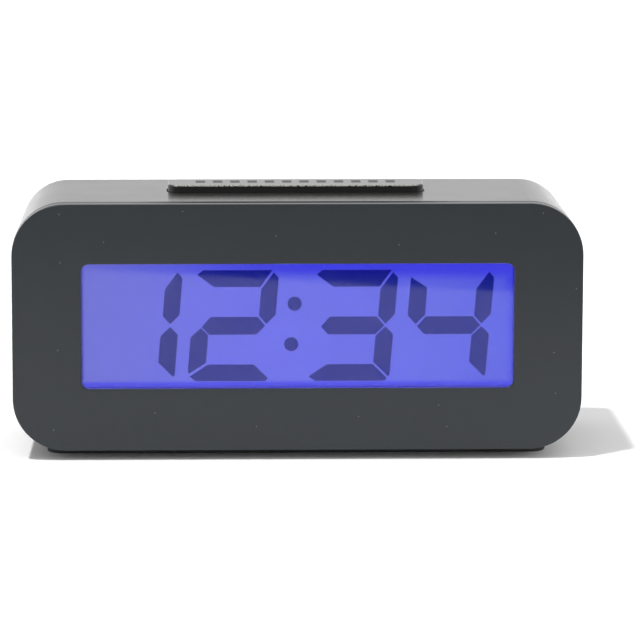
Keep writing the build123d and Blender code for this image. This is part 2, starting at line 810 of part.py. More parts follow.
# Long case screws with a cross slot
with BuildPart() as case_screws:
    head_front = boss_end + boss_gap + post_floor
    with BuildSketch(face_plane(head_front)):
        with GridLocations(2 * screw_x, 2 * screw_z, 2, 2):
            Circle(screw_head_radius)
    extrude(amount=-screw_head_height)
    fillet(case_screws.edges().group_by(Axis.Y)[-1], screw_head_height / 3)
    with BuildSketch(face_plane(head_front)):
        with GridLocations(2 * screw_x, 2 * screw_z, 2, 2):
            Circle(screw_radius)
    extrude(amount=screw_length)
    with BuildSketch(face_plane(head_front + screw_head_height)):
        with GridLocations(2 * screw_x, 2 * screw_z, 2, 2):
            Rectangle(screw_head_radius, cross_slot_width)
            Rectangle(cross_slot_width, screw_head_radius)
    extrude(amount=cross_slot_depth, mode=Mode.SUBTRACT)
keep(case_screws, "case_screws")

# Push bar: a hollow cap with a plunger in the middle and a lip at each end
with BuildPart() as snooze_bar:
    with BuildSketch(floor_plane(bar_bottom)):
        with Locations((0, bar_middle)):
            RectangleRounded(bar_width, bar_depth, bar_corner)
    extrude(amount=bar_top - bar_bottom)
    fillet(snooze_bar.edges().group_by(Axis.Z)[-1], bar_edge_radius)
    with BuildSketch(floor_plane(bar_bottom)):
        with Locations((0, bar_middle)):
            RectangleRounded(bar_width - 2 * bar_wall, bar_depth - 2 * bar_wall, bar_corner - bar_wall)
    extrude(amount=bar_top - bar_bottom - bar_wall, mode=Mode.SUBTRACT)
    with BuildSketch(floor_plane(bar_stem_top)):
        with Locations((0, bar_middle)):
            Circle(plunger_radius)
    extrude(amount=bar_top - bar_wall / 2 - bar_stem_top)
    with BuildSketch(floor_plane(bar_bottom)):
        with Locations((0, bar_middle)):
            Rectangle(bar_width + 2 * lip_reach, lip_length)
            Rectangle(bar_width - 2 * bar_wall, lip_length, mode=Mode.SUBTRACT)
    extrude(amount=lip_height)
keep(snooze_bar, "snooze_bar")

# Switch board under the bar
with BuildPart() as snooze_board:
    with BuildSketch(floor_plane(top_board_top)):
        with Locations((0, bar_middle)):
            Rectangle(2 * (top_post_x + top_board_end_margin), top_board_depth)
        with Locations(*top_posts):
            Circle(small_screw_radius + hole_clearance, mode=Mode.SUBTRACT)
    extrude(amount=-board_thickness)
keep(snooze_board, "snooze_board")

with BuildPart() as snooze_board_screws:
    with BuildSketch(floor_plane(top_board_top - board_thickness)):
        with Locations(*top_posts):
            Circle(small_screw_head_radius)
    extrude(amount=-small_screw_head_height)
    fillet(snooze_board_screws.edges().group_by(Axis.Z)[0], small_screw_head_height / 2)
    with BuildSketch(floor_plane(top_board_top - board_thickness)):
        with Locations(*top_posts):
            Circle(small_screw_radius)
    extrude(amount=small_screw_reach + board_thickness - hole_clearance)
keep(snooze_board_screws, "snooze_board_screws")

# Push switch under the bar: a square body with a well for its stem
with BuildPart() as snooze_switch:
    with BuildSketch(floor_plane(top_board_top)):
        with Locations((0, bar_middle)):
            RectangleRounded(switch_size, switch_size, switch_corner)
    extrude(amount=switch_height)
    with BuildSketch(floor_plane(top_switch_top)):
        with Locations((0, bar_middle)):
            Circle(stem_radius + stem_clearance)
    extrude(amount=-stem_well, mode=Mode.SUBTRACT)
keep(snooze_switch, "snooze_switch")

with BuildPart() as snooze_switch_stem:
    with BuildSketch(floor_plane(bar_stem_top)):
        with Locations((0, bar_middle)):
            Circle(stem_radius)
    extrude(amount=-(bar_stem_top - top_switch_top + stem_well - bar_travel - 2 * stem_clearance))
keep(snooze_switch_stem, "snooze_switch_stem")

# Set buttons: round caps in the panel, each with a flange inside and a switch stem behind it
for button_name, button_x in zip(button_names, button_places):
    with BuildPart() as set_button:
        with BuildSketch(face_plane(flange_front)):
            with Locations((button_x, panel_lift)):
                Circle(button_radius + button_flange)
        extrude(amount=-button_flange_thickness)
        with BuildSketch(face_plane(flange_behind)):
            with Locations((button_x, panel_lift)):
                Circle(button_radius)
        extrude(amount=-(panel_floor + button_proud - flange_behind))
        fillet(set_button.edges().group_by(Axis.Y)[-1], button_edge_radius)
    keep(set_button, f"{button_name}_button")

    with BuildPart() as switch_stem:
        with BuildSketch(face_plane(flange_front)):
            with Locations((button_x, panel_lift)):
                Circle(stem_radius)
        extrude(amount=stem_well)
    keep(switch_stem, f"{button_name}_switch_stem")

# The four switch bodies behind the set buttons
with BuildPart() as set_switches:
    with BuildSketch(face_plane(rear_board_back)):
        with Locations(*[(x, panel_lift) for x in button_places]):
            RectangleRounded(switch_size, switch_size, switch_corner)
    extrude(amount=-switch_height)
    with BuildSketch(face_plane(rear_board_back + switch_height)):
        with Locations(*[(x, panel_lift) for x in button_places]):
            Circle(stem_radius + stem_clearance)
    extrude(amount=stem_well, mode=Mode.SUBTRACT)
keep(set_switches, "set_switches")

# Sliding alarm switch: knob, lever and body, resting at the left end of its slot
slider_rest_x = slider_x - slider_travel / 2
with BuildPart() as alarm_switch_knob:
    with BuildSketch(face_plane(flange_behind)):
        with Locations((slider_rest_x, panel_lift)):
            Rectangle(2 * (slot_half_width + slider_travel / 2 + slider_flange_margin), slider_flange_height)
    extrude(amount=slider_flange_thickness)
    with BuildSketch(face_plane(flange_behind)):
        with Locations((slider_rest_x, panel_lift)):
            Rectangle(slider_width, slider_height)
    extrude(amount=-(panel_floor + slider_proud - flange_behind))
    groove_places = [(slider_rest_x + step * 2 * slider_groove_width, panel_lift) for step in (-1, 0, 1)]
    with BuildSketch(face_plane(panel_floor + slider_proud)):
        with Locations(*groove_places):
            Rectangle(slider_groove_width, slider_height)
    extrude(amount=slider_groove_depth, mode=Mode.SUBTRACT)
    with BuildSketch(face_plane(flange_behind - slider_flange_thickness)):
        with Locations((slider_rest_x, panel_lift)):
            Rectangle(lever_width + 2 * lever_clearance, lever_width + 2 * lever_clearance)
    extrude(amount=-(slider_flange_thickness + lever_reach), mode=Mode.SUBTRACT)
keep(alarm_switch_knob, "alarm_switch_knob")

slide_body_back = rear_board_back + slide_body_depth
lever_front = slide_body_back - slide_well_depth + lever_clearance
with BuildPart() as alarm_switch_lever:
    with BuildSketch(face_plane(lever_front)):
        with Locations((slider_rest_x, panel_lift)):
            Rectangle(lever_width, lever_width)
    extrude(amount=-(flange_behind + lever_reach - lever_clearance - lever_front))
keep(alarm_switch_lever, "alarm_switch_lever")

with BuildPart() as slide_switch:
    with BuildSketch(face_plane(rear_board_back)):
        with Locations((slider_x, panel_lift)):
            Rectangle(slide_body_width, slide_body_height)
    extrude(amount=-slide_body_depth)
    with BuildSketch(face_plane(slide_body_back)):
        with Locations((slider_x, panel_lift)):
            Rectangle(
                lever_width + slider_travel + 2 * lever_clearance, lever_width + 2 * lever_clearance
            )
    extrude(amount=slide_well_depth, mode=Mode.SUBTRACT)
keep(slide_switch, "slide_switch")

# Control board on its two posts
with BuildPart() as control_board:
    with BuildSketch(face_plane(rear_board_front)):
        with Locations((panel_mid_x, panel_lift)):
            Rectangle(2 * (rear_board_post_x + rear_board_margin), rear_board_height)
        with Locations(*rear_board_posts):
            Circle(small_screw_radius + hole_clearance, mode=Mode.SUBTRACT)
    extrude(amount=-rear_board_thickness)
keep(control_board, "control_board")

with BuildPart() as control_board_screws:
    with BuildSketch(face_plane(rear_board_front)):
        with Locations(*rear_board_posts):
            Circle(small_screw_head_radius)
    extrude(amount=small_screw_head_height)
    fillet(control_board_screws.edges().group_by(Axis.Y)[0], small_screw_head_height / 2)
    with BuildSketch(face_plane(rear_board_front)):
        with Locations(*rear_board_posts):
            Circle(small_screw_radius)
    extrude(amount=-(small_screw_reach + rear_board_thickness - hole_clearance))
keep(control_board_screws, "control_board_screws")

# Two cells, lying opposite ways: the upper one has its nub to the left, the lower one to the right
cell_left = -bay_half_length + contact_thickness
cell_right = bay_half_length - contact_thickness


def battery(nub_x, inward, cell_z):
    """A cell from its nub's tip, inward along X; inward is 1 or -1."""
    with BuildPart() as cell:
        with BuildSketch(side_plane(nub_x + inward * nub_length)):
            with Locations((cell_behind, cell_z)):
                Circle(cell_radius)
        extrude(amount=inward * (cell_length - nub_length))
        fillet(cell.edges().filter_by(GeomType.CIRCLE), cell_edge_radius)
        with BuildSketch(side_plane(nub_x)):
            with Locations((cell_behind, cell_z)):
                Circle(nub_radius)
        extrude(amount=inward * (nub_length + cell_edge_radius))
    return cell


keep(battery(cell_left, 1, upper_cell_z), "upper_battery")
keep(battery(cell_right, -1, lower_cell_z), "lower_battery")


plate_front = cell_behind - contact_size / 2
solder_tab_front = bay_floor - bay_block_wall - solder_tab_reach


def tabbed_contact(middle_z):
    """A contact plate on the bay's left wall, with a solder tab through the floor."""
    with BuildPart() as plate:
        with BuildSketch(side_plane(-bay_half_length)):
            with Locations((cell_behind, middle_z)):
                Rectangle(contact_size, contact_size)
            with Locations(((plate_front + solder_tab_front) / 2, middle_z)):
                Rectangle(plate_front - solder_tab_front, solder_tab_width)
        extrude(amount=contact_thickness)
    return plate


keep(tabbed_contact(upper_cell_z), "positive_contact")
keep(tabbed_contact(lower_cell_z), "negative_contact")

# Plate on the right wall that links the two cells
with BuildPart() as link_contact:
    with BuildSketch(side_plane(bay_half_length)):
        with Locations((cell_behind, bay_mid_z)):
            Rectangle(contact_size, cell_pitch + contact_size)
    extrude(amount=-contact_thickness)
keep(link_contact, "link_contact")


def contact_spring(plate_x, inward, middle_z):
    """A conical coil from the plate to the cell's flat end."""
    spring_run = spring_length - 2 * spring_wire_radius
    cone = -math.degrees(math.atan((spring_base_radius - spring_tip_radius) / spring_run))
    coil_start = (plate_x + inward * spring_wire_radius, front_y + cell_behind, face_mid_z + middle_z)
    with BuildPart() as spring:
        with BuildLine() as coil:
            Helix(
                pitch=spring_run / spring_turns,
                height=spring_run,
                radius=spring_base_radius,
                center=coil_start,
                direction=(inward, 0, 0),
                cone_angle=cone,
            )
        with BuildSketch(Plane(origin=coil.line @ 0, z_dir=coil.line % 0)):
            Circle(spring_wire_radius)
        sweep(is_frenet=True)
    return spring


keep(contact_spring(cell_left, 1, lower_cell_z), "negative_spring")
keep(contact_spring(cell_right, -1, upper_cell_z), "link_spring")

# Battery door with grip ribs, two tabs at the bottom and a folded spring latch at the top
door_half_length = pocket_half_length - door_clearance
door_half_height = pocket_half_height - door_clearance
door_front = case_depth - door_thickness
door_bottom = bay_mid_z - door_half_height
door_top = bay_mid_z + door_half_height
tab_front = door_front - 2 * tab_thickness + tab_clearance
with BuildPart() as battery_door:
    with BuildSketch(face_plane(door_front)):
        with Locations((0, bay_mid_z)):
            RectangleRounded(2 * door_half_length, 2 * door_half_height, door_corner)
    extrude(amount=-door_thickness)
    fillet(battery_door.edges().group_by(Axis.Y)[-1], door_edge_radius)
    groove_places = [(0, door_top - grip_margin - grip_pitch * index) for index in range(grip_count)]
    with BuildSketch(face_plane(case_depth)):
        with Locations(*groove_places):
            SlotOverall(grip_length, grip_width)
    extrude(amount=grip_depth, mode=Mode.SUBTRACT)
    tab_z = door_bottom + (bay_ledge - tab_reach) / 2
    with BuildSketch(face_plane(tab_front)):
        with Locations((-tab_x, tab_z), (tab_x, tab_z)):
            Rectangle(tab_width, bay_ledge + tab_reach)
    extrude(amount=-tab_thickness)
    tab_foot_z = door_bottom + bay_ledge / 2
    with BuildSketch(face_plane(tab_front)):
        with Locations((-tab_x, tab_foot_z), (tab_x, tab_foot_z)):
            Rectangle(tab_width, bay_ledge - door_clearance)
    extrude(amount=-(door_front - tab_front))
    with BuildSketch(side_plane(-latch_width / 2)):
        with BuildLine():
            FilletPolyline(
                (door_front + latch_thickness / 2, door_top - latch_thickness),
                (latch_front + latch_thickness, door_top - latch_thickness),
                (latch_front + latch_thickness, door_top + latch_rise),
                (case_depth - latch_thickness, door_top + latch_rise),
                radius=latch_thickness,
            )
        trace(line_width=latch_thickness)
    extrude(amount=latch_width)
keep(battery_door, "battery_door")

# Sounder: a brass disc with a smaller ceramic disc on it
disc_back = back_wall_inside - ring_seat
with BuildPart() as sounder_disc:
    with BuildSketch(face_plane(disc_back - disc_thickness)):
        with Locations((grille_x, -grille_drop)):
            Circle(disc_radius)
    extrude(amount=-disc_thickness)
keep(sounder_disc, "sounder_disc")

with BuildPart() as sounder_ceramic:
    with BuildSketch(face_plane(disc_back - disc_thickness - ceramic_thickness)):
        with Locations((grille_x, -grille_drop)):
            Circle(ceramic_radius)
    extrude(amount=-ceramic_thickness)
keep(sounder_ceramic, "sounder_ceramic")

# Flat ribbons from the main board to the control board and to the switch board under the bar
control_ribbon_bend = (board_back + rear_board_front) / 2
with BuildPart() as control_ribbon:
    with BuildSketch(side_plane(control_ribbon_x)):
        with BuildLine():
            FilletPolyline(
                (board_back, control_ribbon_z),
                (control_ribbon_bend, control_ribbon_z),
                (control_ribbon_bend, panel_lift - rear_board_height / 4),
                (rear_board_front, panel_lift - rear_board_height / 4),
                radius=ribbon_bend,
            )
        trace(line_width=ribbon_thickness)
    extrude(amount=ribbon_width)
keep(control_ribbon, "control_ribbon")

with BuildPart() as snooze_ribbon:
    with BuildSketch(side_plane(snooze_ribbon_x)):
        with BuildLine():
            FilletPolyline(
                (board_back, snooze_ribbon_z),
                (bar_middle, snooze_ribbon_z),
                (bar_middle, top_board_top - board_thickness),
                radius=ribbon_bend,
            )
        trace(line_width=ribbon_thickness)
    extrude(amount=ribbon_width)
keep(snooze_ribbon, "snooze_ribbon")

# Two leads from the battery contacts to the main board
with BuildPart() as battery_leads:
    for lead_z in (upper_cell_z, lower_cell_z):
        with BuildLine() as lead_path:
            FilletPolyline(
                (-bay_half_length + contact_thickness / 2, front_y + solder_tab_front, face_mid_z + lead_z),
                (lead_x, front_y + solder_tab_front - lead_bend_ahead, face_mid_z + lead_z),
                (lead_x, front_y + board_back, face_mid_z + lead_z),
                radius=lead_bend,
            )
        with BuildSketch(Plane(origin=lead_path.line @ 1, z_dir=lead_path.line % 1)):
            Circle(lead_radius)
        sweep(path=lead_path.line)
keep(battery_leads, "battery_leads")
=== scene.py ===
import math

import bpy
from mathutils import Matrix, Vector


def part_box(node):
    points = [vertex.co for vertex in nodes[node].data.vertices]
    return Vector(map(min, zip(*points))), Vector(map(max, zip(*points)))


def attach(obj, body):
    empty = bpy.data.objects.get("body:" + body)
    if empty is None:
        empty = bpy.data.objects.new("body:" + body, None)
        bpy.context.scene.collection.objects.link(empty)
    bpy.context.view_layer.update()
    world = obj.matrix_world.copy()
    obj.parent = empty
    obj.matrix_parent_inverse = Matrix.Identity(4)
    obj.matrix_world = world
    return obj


# Looks of a desk clock with a lit segment display, in metres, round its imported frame
# The display faces -Y, and the viewer's right is +X

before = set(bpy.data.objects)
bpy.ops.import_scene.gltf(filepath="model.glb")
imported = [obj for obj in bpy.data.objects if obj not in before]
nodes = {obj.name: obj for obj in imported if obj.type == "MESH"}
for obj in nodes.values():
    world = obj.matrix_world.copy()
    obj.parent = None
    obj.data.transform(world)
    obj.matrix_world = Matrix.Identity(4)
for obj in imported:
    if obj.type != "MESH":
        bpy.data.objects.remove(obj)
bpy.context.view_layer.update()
millimetre = 0.001

# Places taken from the frame
bezel_low, bezel_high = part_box("front_bezel")
lens_low, lens_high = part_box("window_lens")
bar_low, bar_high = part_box("snooze_bar")
case_low, case_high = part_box("rear_case")
front_y = bezel_low.y
face_mid_z = (bezel_low.z + bezel_high.z) / 2
case_front_y = case_low.y
window_lip = 2.6 * millimetre
window_left = lens_low.x + window_lip
window_right = lens_high.x - window_lip
window_bottom = lens_low.z + window_lip
window_top = lens_high.z - window_lip
panel_depth = 1.6 * millimetre
panel_floor_y = case_high.y - panel_depth

# Height of the fine texture on the satin plastics
satin_relief = 0.008 * millimetre


class Wire:
    """One output of a finish's nodes; sums on it add Math nodes."""

    def __init__(self, finish, socket):
        self.finish = finish
        self.socket = socket

    def math(self, operation, *others):
        """This value, and any others, through one Math node."""
        values = dict(enumerate((self,) + others))
        return self.finish.node("ShaderNodeMath", {"operation": operation}, values)

    def __add__(self, other):
        return self.math("ADD", other)

    def __radd__(self, other):
        return self.math("ADD", other)

    def __sub__(self, other):
        return self.math("SUBTRACT", other)

    def __rsub__(self, other):
        return self.math("MULTIPLY_ADD", -1.0, other)

    def __mul__(self, other):
        return self.math("MULTIPLY", other)

    def __rmul__(self, other):
        return self.math("MULTIPLY", other)

    def __truediv__(self, other):
        return self.math("DIVIDE", other)

    def __abs__(self):
        return self.math("ABSOLUTE")

    def __pow__(self, other):
        return self.math("POWER", other)


class Nodes:
    """The emptied node tree of a material or world, and the places that its nodes read."""

    def __init__(self, holder, place):
        holder.use_nodes = True
        self.tree = holder.node_tree
        self.tree.nodes.clear()
        self.place = self.node("ShaderNodeTexCoord", output=place)
        self.x = self.node("ShaderNodeSeparateXYZ", inputs={"Vector": self.place}, output="X")
        self.y = self.node("ShaderNodeSeparateXYZ", inputs={"Vector": self.place}, output="Y")
        self.z = self.node("ShaderNodeSeparateXYZ", inputs={"Vector": self.place}, output="Z")

    def node(self, kind, settings=None, inputs=None, output=0):
        """Adds a node: its settings first, then the values or links of its sockets."""
        added = self.tree.nodes.new(kind)
        for name, value in (settings or {}).items():
            if name == "stops":
                set_stops(added.color_ramp, value)
            else:
                setattr(added, name, value)
        for name, value in (inputs or {}).items():
            socket = added.inputs[name]
            if isinstance(value, Wire):
                self.tree.links.new(value.socket, socket)
            else:
                socket.default_value = value
        return Wire(self, added.outputs[output])

    def ray(self, *kinds):
        """1 for rays of these kinds, 0 for the others."""
        seen = [self.node("ShaderNodeLightPath", output=f"Is {kind} Ray") for kind in kinds]
        share = seen[0]
        for other in seen[1:]:
            share = share.math("MAXIMUM", other)
        return share

    def noise(self, size, detail=2.0, stretch=(1.0, 1.0, 1.0)):
        """Even noise from 0 to 1 whose blots are about this size, in metres."""
        spread = [1.0 / (size * part) for part in stretch]
        where = self.node(
            "ShaderNodeVectorMath", {"operation": "MULTIPLY"}, {0: self.place, 1: spread}
        )
        inputs = {"Vector": where, "Scale": 1.0, "Detail": detail, "Roughness": 0.55}
        return self.node("ShaderNodeTexNoise", inputs=inputs)

    def rise(self, value, low, high):
        """A smooth step: 0 below low, 1 above high. With high below low, it falls instead."""
        inputs = {"Value": value, "From Min": low, "From Max": high}
        return self.node("ShaderNodeMapRange", {"interpolation_type": "SMOOTHSTEP"}, inputs)

    def band(self, value, low, high, soft):
        """1 between low and high, falling to 0 over soft at either end."""
        return self.rise(value, low - soft, low) * self.rise(value, high + soft, high)

    def blend(self, share, first, second):
        """Two colours mixed by a share of the second."""
        settings = {"data_type": "RGBA", "clamp_factor": True}
        return self.node("ShaderNodeMix", settings, {0: share, 6: first, 7: second}, output=2)

    def end(self, output_kind, shader):
        output = self.tree.nodes.new(output_kind)
        self.tree.links.new(shader.socket, output.inputs["Surface"])


class Finish(Nodes):
    """A material for one kind of surface on the clock."""

    def __init__(self, name):
        self.material = bpy.data.materials.new(name)
        super().__init__(self.material, "Object")

    def bump(self, height, distance):
        return self.node("ShaderNodeBump", inputs={"Height": height, "Distance": distance})

    def surface(self, **inputs):
        """The principled shader, with its sockets named as words joined by underscores."""
        names = {key.replace("_", " "): value for key, value in inputs.items()}
        return self.node("ShaderNodeBsdfPrincipled", inputs=names)

    def done(self, shader):
        """Puts the shader on the material's output."""
        self.end("ShaderNodeOutputMaterial", shader)
        return self.material


def set_stops(ramp, stops):
    while len(ramp.elements) < len(stops):
        ramp.elements.new(0.5)
    for element, (position, colour) in zip(ramp.elements, stops):
        element.position = position
        element.color = colour


def paint(red, green, blue):
    """A colour in linear values, opaque."""
    return (red, green, blue, 1.0)


def moulded(name, colour, roughness, relief=0.02 * millimetre, gloss=0.5, coat=(0.0, 0.0)):
    """Starts a moulded plastic with a fine eroded texture; coat is its weight and roughness."""
    finish = Finish(name)
    fine = finish.noise(0.25 * millimetre)
    broad = finish.noise(9 * millimetre)
    shade = fine * 0.16 + broad * 0.14 + 0.85
    tone = finish.node(
        "ShaderNodeVectorMath", {"operation": "SCALE"}, {0: colour[:3], "Scale": shade}
    )
    bumped = finish.bump(fine, relief)
    wear = fine * 0.08 + broad * 0.06 + (roughness - 0.07)
    inputs = {"Base Color": tone, "Roughness": wear, "Normal": bumped, "Specular IOR Level": gloss}
    inputs.update({"Coat Weight": coat[0], "Coat Roughness": coat[1]})
    return finish, inputs


def finished(finish, inputs):
    """Puts a moulded plastic's shader on its material's output."""
    return finish.done(finish.node("ShaderNodeBsdfPrincipled", inputs=inputs))


def dull_and_shade_seam(finish, inputs, lip, dulled):
    """Dulls the lip along the seam and darkens it with painted shade, most of all in the middle of the
    clock.
    """
    openness = finish.rise(abs(finish.x), 40 * millimetre, 20 * millimetre) * 0.92 + 0.08
    seam_shade = lip * openness
    # Painted shade: the lip darkens towards black along the seam.
    inputs["Base Color"] = finish.blend(seam_shade, inputs["Base Color"], paint(0.006, 0.006, 0.006))
    inputs["Roughness"] = inputs["Roughness"] + seam_shade * dulled
    return seam_shade


def bezel_plastic():
    """Matt dark grey face with a few specks of dust, and a satin rim that is dulled at the seam and
    painted darker there as shade.
    """
    coat = 0.1
    colour = paint(0.016, 0.021, 0.026)
    finish, inputs = moulded("bezel_plastic", colour, 0.46, coat=(coat, 0.16))
    behind_face = (finish.y - front_y) / millimetre
    before_case = (case_front_y - finish.y) / millimetre
    rim = finish.rise(behind_face, 0.1, 0.5)
    inputs["Roughness"] = inputs["Roughness"] - rim * 0.12
    seam_shade = dull_and_shade_seam(finish, inputs, finish.rise(before_case, 2.2, 1.5), 0.5)
    inputs["Coat Weight"] = (rim * 0.14 + coat) * (1.0 - seam_shade)
    flat = finish.node("ShaderNodeCombineXYZ", inputs={"X": finish.x, "Y": finish.z})
    near = finish.node(
        "ShaderNodeTexVoronoi",
        {"voronoi_dimensions": "2D"},
        {"Vector": flat, "Scale": 62.0, "Randomness": 1.0},
        output="Distance",
    )
    on_face = finish.rise(behind_face, 0.3, 0.1)
    dust = finish.rise(near, 0.011, 0.004) * on_face * 0.5
    inputs["Base Color"] = finish.blend(dust, inputs["Base Color"], paint(0.30, 0.31, 0.32))
    return finished(finish, inputs)


def case_plastic():
    """Satin dark plastic that mirrors a pale room at low angles, matt and painted darker as shade at
    its lip along the seam.
    """
    coat = 0.25
    colour = paint(0.024, 0.023, 0.022)
    finish, inputs = moulded("case_plastic", colour, 0.24, satin_relief, coat=(coat, 0.12))
    past_seam = (finish.y - case_front_y) / millimetre
    seam_shade = dull_and_shade_seam(finish, inputs, finish.rise(past_seam, 0.7, 0.4), 0.7)
    inputs["Coat Weight"] = (1.0 - seam_shade) * coat
    return finished(finish, inputs)


def bar_plastic():
    """The push bar: the case's plastic, with a plain printed row of ticks and pale specks along its
    front edge, a painted highlight.
    """
    coat = 0.48
    tick_pitch = 4 * millimetre
    tick_length = 3.2 * millimetre
    row_half_width = 23 * millimetre
    row_y = (bar_low.y + bar_high.y) / 2 + 0.8 * millimetre
    highlight_width = 0.5 * millimetre
    soft = 0.1 * millimetre
    colour = paint(0.018, 0.018, 0.018)
    finish, inputs = moulded("bar_plastic", colour, 0.24, satin_relief, coat=(coat, 0.12))
    below_top = (bar_high.z - finish.z) / millimetre
    top = finish.rise(below_top, 0.15, 0.05)
    row = finish.band(finish.y, row_y - tick_length / 2, row_y + tick_length / 2, soft)
    span = finish.rise(abs(finish.x), row_half_width + 2 * soft, row_half_width)
    tick = finish.band((finish.x / tick_pitch).math("FRACT"), 0.25, 0.75, 0.04)
    print_mask = top * row * span * tick
    # Painted highlight along the bar's front top edge, broken into pale specks.
    edge = finish.band(finish.y, bar_low.y, bar_low.y + highlight_width, soft)
    speck_mask = finish.rise(finish.noise(0.42 * millimetre), 0.42, 0.54)
    highlight_specks = edge * speck_mask * finish.rise(below_top, 0.35, 0.2)
    tone = finish.blend(print_mask, inputs["Base Color"], paint(0.07, 0.07, 0.07))
    inputs["Base Color"] = finish.blend(highlight_specks * 0.8, tone, paint(0.40, 0.40, 0.35))
    inputs["Roughness"] = inputs["Roughness"] + print_mask * 0.5 + highlight_specks * 0.3
    inputs["Coat Weight"] = (1.0 - print_mask) * coat
    return finished(finish, inputs)


def button_plastic():
    return finished(*moulded("button_plastic", paint(0.040, 0.042, 0.046), 0.42, gloss=0.4))


def glow_with_painted_light(finish):
    """Colour of the lit field: blue glow with a painted violet haze of room light, deeper blue along
    the top, the right and the bottom as painted shadow of the bezel, and painted shade at its edges.
    """
    across = (finish.x - window_left) / (window_right - window_left)
    below_top = (window_top - finish.z) / millimetre
    from_right = (window_right - finish.x) / millimetre
    from_left = (finish.x - window_left) / millimetre
    above_bottom = (finish.z - window_bottom) / millimetre
    # The body colour is the blue glow with a painted violet haze of room light.
    body = finish.node(
        "ShaderNodeValToRGB",
        {"stops": [
            (0.0, paint(0.134, 0.140, 0.600)),
            (0.35, paint(0.132, 0.138, 0.735)),
            (0.85, paint(0.110, 0.127, 0.715)),
            (1.0, paint(0.092, 0.108, 0.700)),
        ]},
        {0: across},
    )
    # Painted shadow of the bezel: deep blue bands without the haze along the top, the right side, the
    # bottom and a fringe at the sides.
    reach = across * 2.2 + 3.4
    top_shadow_band = finish.rise(below_top / reach, 1.0, 0.35) * finish.rise(across, 0.0, 0.55)
    right_shadow_band = finish.rise(from_right, 3.0, 0.4) * finish.rise(below_top, 9.0, 4.0)
    side_shadow_fringe = finish.rise(from_right, 1.6, 0.2).math("MAXIMUM", finish.rise(from_left, 0.9, 0.2)) * 0.65
    bottom_shadow_band = finish.rise(above_bottom, 1.5, 0.5)
    bezel_shadow_share = top_shadow_band.math("MAXIMUM", right_shadow_band).math("MAXIMUM", bottom_shadow_band).math("MAXIMUM", side_shadow_fringe)
    cloud = finish.noise(14 * millimetre, 1.0) * 0.12 + 0.94
    field = finish.blend(bezel_shadow_share, body, paint(0.049, 0.050, 0.715))
    # Painted shade that darkens the field towards its left, right and bottom edges.
    rim = (
        finish.rise(from_left, -0.1, 0.8)
        * finish.rise(from_right, -0.3, 0.5)
        * finish.rise(above_bottom, -0.9, 0.5)
    )
    shade = (rim * 0.75 + 0.25) * cloud
    return finish.node("ShaderNodeVectorMath", {"operation": "SCALE"}, {0: field, "Scale": shade})


def lit_diffuser():
    """The sheet in front of the light guide, which is what glows; its glow carries the lit field's
    painted haze and painted shadow.
    """
    finish = Finish("diffuser")
    return finish.done(finish.surface(
        Base_Color=paint(0.020, 0.022, 0.060),
        Specular_IOR_Level=0.0,
        Roughness=0.6,
        Emission_Color=glow_with_painted_light(finish),
        Emission_Strength=1.0,
    ))


def segment_ink():
    """Dark segments of the display; part of the glow, with its painted haze and painted shadow, comes
    through them.
    """
    finish = Finish("segment_ink")
    glow = glow_with_painted_light(finish)
    let_through = (0.07, 0.11, 0.35)
    dim = finish.node("ShaderNodeVectorMath", {"operation": "MULTIPLY"}, {0: glow, 1: let_through})
    return finish.done(finish.surface(
        Base_Color=paint(0.004, 0.004, 0.012),
        Specular_IOR_Level=0.0,
        Roughness=0.5,
        Emission_Color=dim,
        Emission_Strength=1.0,
    ))


def lens_acrylic():
    """Clear window lens with faint smears in its polish."""
    finish = Finish("clear_acrylic")
    smear = finish.noise(6 * millimetre, 2.0, (2.0, 1.0, 1.0))
    return finish.done(finish.surface(
        Base_Color=paint(0.97, 0.98, 1.0),
        Roughness=smear * 0.04 + 0.01,
        IOR=1.37,
        Transmission_Weight=1.0,
    ))


def display_glass():
    """Thin glass of the display, nearly clear, with a faint grid of conductor lines."""
    finish = Finish("display_glass")
    lines = finish.band((finish.x / (0.9 * millimetre)).math("FRACT"), 0.46, 0.54, 0.02)
    return finish.done(finish.surface(
        Base_Color=paint(0.20, 0.24, 0.40),
        Roughness=0.06,
        Alpha=lines * 0.012 + 0.006,
    ))


def guide_acrylic():
    """Light guide with a dot pattern that grows away from the emitters."""
    finish = Finish("guide_acrylic")
    flat = finish.node("ShaderNodeCombineXYZ", inputs={"X": finish.x, "Y": finish.z})
    near = finish.node(
        "ShaderNodeTexVoronoi",
        {"voronoi_dimensions": "2D"},
        {"Vector": flat, "Scale": 900.0, "Randomness": 0.0},
        output="Distance",
    )
    growth = (window_top - finish.z) / (window_top - window_bottom)
    dots = finish.rise(near, growth * 0.25 + 0.2, growth * 0.25 + 0.15)
    return finish.done(finish.surface(
        Base_Color=finish.blend(dots, paint(0.55, 0.60, 0.95), paint(0.85, 0.87, 1.0)),
        Roughness=dots * 0.5 + 0.1,
        Emission_Color=finish.blend(dots, paint(0.05, 0.06, 0.45), paint(0.16, 0.18, 0.80)),
        Emission_Strength=0.6,
    ))


def fibre_film():
    """White reflector film with a faint fibre."""
    finish = Finish("white_film")
    fibre = finish.noise(0.8 * millimetre, 4.0, (3.0, 1.0, 1.0))
    return finish.done(finish.surface(
        Base_Color=finish.blend(fibre, paint(0.78, 0.78, 0.80), paint(0.90, 0.90, 0.91)),
        Roughness=fibre * 0.2 + 0.5,
        Normal=finish.bump(fibre, 0.02 * millimetre),
    ))


def frame_plastic():
    return finished(*moulded("white_plastic", paint(0.72, 0.72, 0.70), 0.48))


